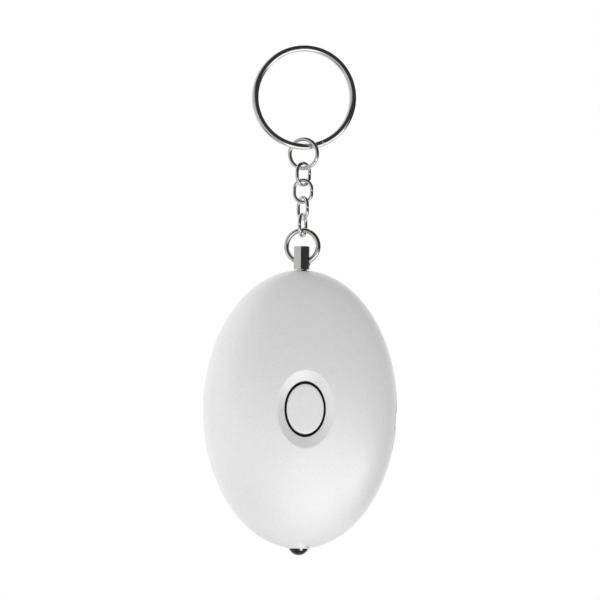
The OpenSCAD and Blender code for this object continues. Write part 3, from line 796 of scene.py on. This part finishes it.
# Pull pin
# Turned from hexagon steel bar and plated: chamfered head with a cross hole, and a round stem whose groove
# the contacts in the case spring into.
pin_lift = 0.2 * mm
pin_foot = case_mid.z + case_high + pin_lift
pin_turn = math.radians(-16)
head_high = 5.5
head_flats = 3.7
head_corner = head_flats / math.cos(math.radians(30)) / 2
blank_half = head_corner + 0.1
chamfer_half = head_corner - 0.3
foot_drop = 0.12
foot_chamfer = 0.3
top_chamfer = 0.225
eye_radius = 1.1
eye_up = 1.9
tool_long = 8
blank_profile = [(0.3, -foot_drop), (chamfer_half, -foot_drop), (blank_half, foot_chamfer - foot_drop)]
blank_profile += [(blank_half, head_high - top_chamfer), (chamfer_half, head_high), (0.3, head_high)]
pull_pin = turned("pull_pin_piece", 72, blank_profile)
hexagon = rod(head_corner * mm, tool_long * mm, (0, 0, head_high / 2 * mm), sides=6)
carve(pull_pin, hexagon, "INTERSECT")
eye_tool = rod(eye_radius * mm, tool_long * mm, (0, 0, eye_up * mm), sideways)
carve(pull_pin, eye_tool, "DIFFERENCE")
ease = pull_pin.modifiers.new("ease", "BEVEL")
ease.width = 0.06 * mm
ease.segments = 2
ease.limit_method = "ANGLE"
ease.angle_limit = math.radians(24)
bpy.context.view_layer.objects.active = pull_pin
bpy.ops.object.modifier_apply(modifier=ease.name)

# The stem from its round tip up, past the groove and into the head.
stem_radius = 1.25
stem_tip = -11.5
stem_root = 0.2
groove_up = -8.3
groove_round = 0.6
groove_off = 1.5
stem_profile = []
for degrees in range(6, 91, 12):
    angle = math.radians(degrees)
    tip_up = stem_tip + stem_radius - stem_radius * math.cos(angle)
    stem_profile.append((stem_radius * math.sin(angle), tip_up))
stem_profile.append((stem_radius, groove_up - groove_round))
for degrees in range(-60, 61, 20):
    angle = math.radians(degrees)
    reach = min(groove_off - groove_round * math.cos(angle), stem_radius)
    stem_profile.append((reach, groove_up + groove_round * math.sin(angle)))
stem_profile += [(stem_radius, groove_up + groove_round), (stem_radius, stem_root)]
pull_pin = joined([pull_pin, turned("pin_stem", 48, stem_profile)])
settle(pull_pin, (0, 0, pin_foot), (0, 0, pin_turn))
smooth_over(pull_pin, crease=40)

# Bright plating over polished steel: near-white mirror that takes the tones round it, with faint swirls from
# the polishing drum, about 0.6 mm across.
bright_plate, tree, shader = new_finish("bright_nickel_plate", {"Metallic": 1})
swirl_size = 0.6 * mm
place = add_node(tree, "ShaderNodeTexCoord").outputs["Object"]
swirl = add_node(tree, "ShaderNodeTexNoise", {"Vector": place, "Scale": 1 / swirl_size, "Detail": 4})
vary_finish(tree, shader, swirl.outputs["Fac"], "#D2D0CB", "#E4E3E0", (0.06, 0.16))
relief = add_node(
    tree,
    "ShaderNodeBump",
    {"Height": swirl.outputs["Fac"], "Strength": 0.1, "Distance": 0.02 * mm},
)
tree.links.new(relief.outputs["Normal"], shader.inputs["Normal"])
pull_pin.data.materials.append(bright_plate)
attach(pull_pin, "pull_pin")
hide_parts("pull_pin")

# Round rings
# Plated steel wire, bent round and butted: the lower one goes through the cross hole of the pin, the upper
# one joins the chain to the key ring.


def wire_section(radius, place, sides=24):
    """The round end of a wire that is drawn out along Z."""
    bpy.ops.object.select_all(action="DESELECT")
    bpy.ops.mesh.primitive_circle_add(vertices=sides, radius=radius, fill_type="NGON", location=place)
    bpy.ops.object.transform_apply(location=True, rotation=True, scale=True)
    bpy.ops.object.mode_set(mode="EDIT")
    bpy.ops.mesh.select_all(action="SELECT")
    return bpy.context.active_object


def ease_wire_ends(wire, ease):
    """Turns the faces outwards, rounds off the two sawn ends, smooths the rest and plates it."""
    bpy.ops.mesh.select_all(action="SELECT")
    bpy.ops.mesh.normals_make_consistent(inside=False)
    bpy.ops.mesh.select_all(action="DESELECT")
    bpy.ops.object.mode_set(mode="OBJECT")
    for face in wire.data.polygons:
        face.select = len(face.vertices) > 4
    bpy.ops.object.mode_set(mode="EDIT")
    bpy.ops.mesh.region_to_loop()
    bpy.ops.mesh.bevel(offset=ease, segments=2, affect="EDGES")
    bpy.ops.object.mode_set(mode="OBJECT")
    bpy.ops.object.shade_smooth_by_angle(angle=math.radians(40))
    wire.data.materials.append(bright_plate)


def round_ring(name, radius, wire, cut_from_top, up, turn):
    """One wire ring, spun from the cut all the way round to it."""
    slit = 0.08 * mm / radius
    ring = wire_section(wire / 2, (radius, 0, 0))
    ring.name = name
    bpy.ops.mesh.spin(steps=120, angle=2 * math.pi - slit, center=(0, 0, 0), axis=(0, 1, 0))
    ease_wire_ends(ring, 0.06 * mm)
    settle(ring, turn=(0, cut_from_top - math.radians(90) - slit / 2, 0))
    settle(ring, (0, 0, up), (0, 0, turn))
    return ring


lower_ring = round_ring(
    "pin_ring",
    radius=3.825 * mm,
    wire=1.25 * mm,
    cut_from_top=math.radians(26),
    up=-46.57 * mm,
    turn=pin_turn,
)
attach(lower_ring, "lower_ring")
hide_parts("lower_ring")
upper_ring = round_ring(
    "chain_ring",
    radius=3.5 * mm,
    wire=1 * mm,
    cut_from_top=math.radians(120),
    up=-24.45 * mm,
    turn=math.radians(-28),
)
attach(upper_ring, "upper_ring")
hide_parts("upper_ring")

# Chain
# Four oval links of 0.86 mm plated wire, each bent to shape and butted in the middle of one long side. Each
# hangs turned by 52 degrees from the one above.
link_wire = 0.86 * mm
link_radius = 2.07 * mm
link_straight = 1.1 * mm
link_gap = 0.03 * mm
link_top = -29.32
link_pitch = 4.06
link_first_turn = 38
link_twist = 52
first_link = wire_section(link_wire / 2, (link_radius, 0, link_gap / 2), 20)
first_link.name = "link_1_wire"
half_side = (link_straight - link_gap) / 2
bpy.ops.mesh.extrude_region_move(TRANSFORM_OT_translate={"value": (0, 0, half_side)})
bpy.ops.mesh.spin(steps=40, angle=math.pi, center=(0, 0, link_straight / 2), axis=(0, 1, 0))
bpy.ops.mesh.extrude_region_move(TRANSFORM_OT_translate={"value": (0, 0, -link_straight)})
bpy.ops.mesh.spin(steps=40, angle=math.pi, center=(0, 0, -link_straight / 2), axis=(0, 1, 0))
bpy.ops.mesh.extrude_region_move(TRANSFORM_OT_translate={"value": (0, 0, half_side)})
ease_wire_ends(first_link, 0.04 * mm)
chain_links = [first_link]
for number in (2, 3, 4):
    pick(first_link)
    bpy.ops.object.duplicate(linked=False)
    next_link = bpy.context.active_object
    next_link.name = f"link_{number}_wire"
    chain_links.append(next_link)
for number, link in enumerate(chain_links):
    link_up = (link_top - link_pitch * number) * mm
    settle(link, (0, 0, link_up), (0, 0, math.radians(link_first_turn - link_twist * number)))
    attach(link, f"link_{number + 1}")
    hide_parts(f"chain_link_{number + 1}")

# Key ring
# Spring steel wire rolled to 1.5 x 0.9 mm, wound for nearly two turns and plated. It crosses from the front
# turn to the rear one at the bottom, where keys are threaded on.
key_ring_mid = Vector((0, 0, -11 * mm))
key_ring_radius = 11.75 * mm
key_wire_wide = 1.5 * mm
key_wire_thick = 0.9 * mm
turn_pitch = 1.05 * mm
wire_start = math.radians(23)
front_turn = math.radians(314)
cross_turn = math.radians(46)
rear_turn = math.radians(310)
cross_steps = 24
key_ring = wire_section(1, (0, 0, 0))
key_ring.name = "key_ring_wire"
bpy.ops.object.mode_set(mode="OBJECT")
for vertex in key_ring.data.vertices:
    across = vertex.co.x * key_wire_wide / 2
    vertex.co = (across + key_ring_radius, vertex.co.y * key_wire_thick / 2 - turn_pitch / 2, 0)
settle(key_ring, key_ring_mid, (0, math.radians(90) - wire_start, 0))
bpy.ops.object.mode_set(mode="EDIT")
bpy.ops.mesh.select_all(action="SELECT")
bpy.ops.mesh.spin(steps=140, angle=front_turn, center=key_ring_mid, axis=(0, 1, 0))
passed = 0
for step in range(1, cross_steps + 1):
    share = step / cross_steps
    eased = share * share * (3 - 2 * share)
    bpy.ops.mesh.extrude_region_move(TRANSFORM_OT_translate={"value": (0, (eased - passed) * turn_pitch, 0)})
    bpy.ops.transform.rotate(value=cross_turn / cross_steps, orient_axis="Y", center_override=key_ring_mid)
    passed = eased
bpy.ops.mesh.spin(steps=138, angle=rear_turn, center=key_ring_mid, axis=(0, 1, 0))
ease_wire_ends(key_ring, 0.1 * mm)
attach(key_ring, "key_ring")
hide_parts("split_ring")

# Studio
# A pale round table under the hanging alarm, and a white backdrop that stops short on the right. Soft light
# comes mostly from below and the left, the plated wire mirrors a dark upper right and a dark screen at the
# lower left as its dark edges, and two small lamps stand low at the front right.
table_up = -0.42
table_radius = 0.35
table_glow = 0.3
mirrored_glow = 0.1
bpy.ops.object.select_all(action="DESELECT")
bpy.ops.mesh.primitive_circle_add(vertices=96, radius=table_radius, fill_type="NGON")
table_top = bpy.context.active_object
table_top.location = (0, 0, table_up)
table_top.name = "table_top"

# White laminate, seen from above only: matt, with a glow that the camera sees in full and plating in part.
table_white, tree, shader = new_finish(
    "white_table_top",
    {"Base Color": linear("#DADADA"), "Roughness": 0.9, "Emission Color": linear("#FFFFFF")},
)
rays = add_node(tree, "ShaderNodeLightPath")
seen = add_node(
    tree,
    "ShaderNodeMath",
    {0: rays.outputs["Is Glossy Ray"], 1: mirrored_glow, 2: rays.outputs["Is Camera Ray"]},
    operation="MULTIPLY_ADD",
)
seen = add_node(
    tree,
    "ShaderNodeMath",
    {0: seen.outputs["Value"], 1: rays.outputs["Is Transmission Ray"]},
    operation="MAXIMUM",
)
glow = add_node(tree, "ShaderNodeMath", {0: seen.outputs["Value"], 1: table_glow}, operation="MULTIPLY")
tree.links.new(glow.outputs["Value"], shader.inputs["Emission Strength"])
faces = add_node(tree, "ShaderNodeNewGeometry")
upper_side = add_node(tree, "ShaderNodeMath", {0: 1, 1: faces.outputs["Backfacing"]}, operation="SUBTRACT")
tree.links.new(upper_side.outputs["Value"], shader.inputs["Alpha"])
table_top.data.materials.append(table_white)

# Each area of light: the way to it, how nearly a ray has to go that way at its edge and where it is full, its
# level outside the edge and where it is full, and how the two run together.
light_areas = {
    "from_below": ((0, 0, -1), -1, 1, 0.36, 2.2, "LINEAR"),
    "strip_end": ((0, 1, 0), 0.35, 0.85, 0.4, 0, "SMOOTHSTEP"),
    "front_box": ((-0.6, -0.45, 0.66), 0.5, 0.95, 0, 0.9, "SMOOTHSTEP"),
    "dark_screen": ((-0.42, -0.35, -0.84), 0.84, 0.97, 1, 0, "SMOOTHSTEP"),
    "mirror_side": ((-0.45, 0, -0.89), 0, 0.3, 0.04, 0.65, "SMOOTHSTEP"),
    "mirror_under": ((-0.45, 0, -0.89), 0.45, 0.8, 0, 0.1, "SMOOTHSTEP"),
    "left_box": ((-0.85, 0, 0.45), 0.72, 0.92, 0, 0.68, "SMOOTHSTEP"),
}
right_cut = 0.35
studio = bpy.data.worlds.new("studio")
studio.use_nodes = True
tree = studio.node_tree
tree.nodes.clear()
rays = add_node(tree, "ShaderNodeLightPath")
way = add_node(tree, "ShaderNodeTexCoord").outputs["Generated"]
areas = {}
for area, (towards, edge, full, level_outside, level_full, blend) in light_areas.items():
    nearness = add_node(
        tree,
        "ShaderNodeVectorMath",
        {0: way, 1: Vector(towards).normalized()},
        operation="DOT_PRODUCT",
    )
    light = add_node(
        tree,
        "ShaderNodeMapRange",
        {
            "Value": nearness.outputs["Value"],
            "From Min": edge,
            "From Max": full,
            "To Min": level_outside,
            "To Max": level_full,
        },
        interpolation_type=blend,
    )
    areas[area] = light.outputs["Result"]

# The backdrop stands behind the alarm, cut short on the right, and its two ends light the sides of the case.
apart = add_node(tree, "ShaderNodeSeparateXYZ", {"Vector": way})
right_of = add_node(tree, "ShaderNodeMath", {0: apart.outputs["X"], 1: 0}, operation="MAXIMUM")
behind = add_node(
    tree,
    "ShaderNodeMath",
    {0: right_of.outputs["Value"], 1: -right_cut, 2: apart.outputs["Y"]},
    operation="MULTIPLY_ADD",
)
backdrop = add_node(
    tree,
    "ShaderNodeMapRange",
    {"Value": behind.outputs["Value"], "From Min": -0.1, "From Max": 0.6, "To Min": 0, "To Max": 1},
    interpolation_type="SMOOTHSTEP",
)
backdrop = backdrop.outputs["Result"]
side_strips = add_node(tree, "ShaderNodeMath", {0: backdrop, 1: areas["strip_end"]}, operation="MULTIPLY")

# What lights the paint, and what the plating mirrors.
soft_light = areas["from_below"]
for operation, other in (
    ("ADD", side_strips.outputs["Value"]),
    ("ADD", areas["front_box"]),
    ("MULTIPLY", areas["dark_screen"]),
):
    both = add_node(tree, "ShaderNodeMath", {0: soft_light, 1: other}, operation=operation)
    soft_light = both.outputs["Value"]
mirrored = areas["mirror_side"]
for operation, other in (
    ("ADD", areas["mirror_under"]),
    ("MAXIMUM", areas["left_box"]),
    ("MULTIPLY", areas["dark_screen"]),
    ("MAXIMUM", backdrop),
):
    both = add_node(tree, "ShaderNodeMath", {0: mirrored, 1: other}, operation=operation)
    mirrored = both.outputs["Value"]
level = add_node(
    tree,
    "ShaderNodeMixRGB",
    {"Fac": rays.outputs["Is Diffuse Ray"], "Color1": mirrored, "Color2": soft_light},
)
level = add_node(
    tree,
    "ShaderNodeMixRGB",
    {"Fac": rays.outputs["Is Camera Ray"], "Color1": level.outputs["Color"], "Color2": linear("#FFFFFF")},
)
sky = add_node(tree, "ShaderNodeBackground", {"Color": level.outputs["Color"], "Strength": 1})
add_node(tree, "ShaderNodeOutputWorld", {"Surface": sky.outputs["Background"]})
bpy.context.scene.world = studio


def soft_lamp(name, place, aim, size, power):
    """A square lamp with a diffusing cover, aimed at a point."""
    lamp = bpy.data.lights.new(name, "AREA")
    lamp.size = size
    lamp.energy = power
    holder = bpy.data.objects.new(name, lamp)
    bpy.context.scene.collection.objects.link(holder)
    holder.location = place
    holder.rotation_euler = (Vector(aim) - Vector(place)).to_track_quat("-Z", "Y").to_euler()
    holder.visible_camera = False


soft_lamp("low_front_lamp", (0.13, -0.345, -0.245), case_mid, size=0.32, power=0.26)
soft_lamp("low_side_lamp", (0.26, -0.19, -0.21), case_mid, size=0.09, power=0.07)

# Camera
# A long lens from 2.5 m, a little to the left of the hanging alarm and just below its middle. It is rolled by
# under a degree, because the alarm in the photograph hangs slightly out of true.
view_mid = Vector((0.3, 0, -59.4)) * mm
view_far = 2.5
view_turn = math.radians(-7)
view_rise = math.radians(-1.3)
view_roll = math.radians(-0.7)
camera_data = bpy.data.cameras.new("camera")
camera_data.sensor_width = 36
camera_data.lens = 628
camera = bpy.data.objects.new("camera", camera_data)
bpy.context.scene.collection.objects.link(camera)
view_back = Vector((math.sin(view_turn), -math.cos(view_turn), math.tan(view_rise))).normalized()
camera.location = view_mid + view_back * view_far
camera.rotation_euler = (math.radians(90) - view_rise, view_roll, view_turn)
bpy.context.scene.camera = camera
bpy.context.scene.view_settings.view_transform = "Standard"
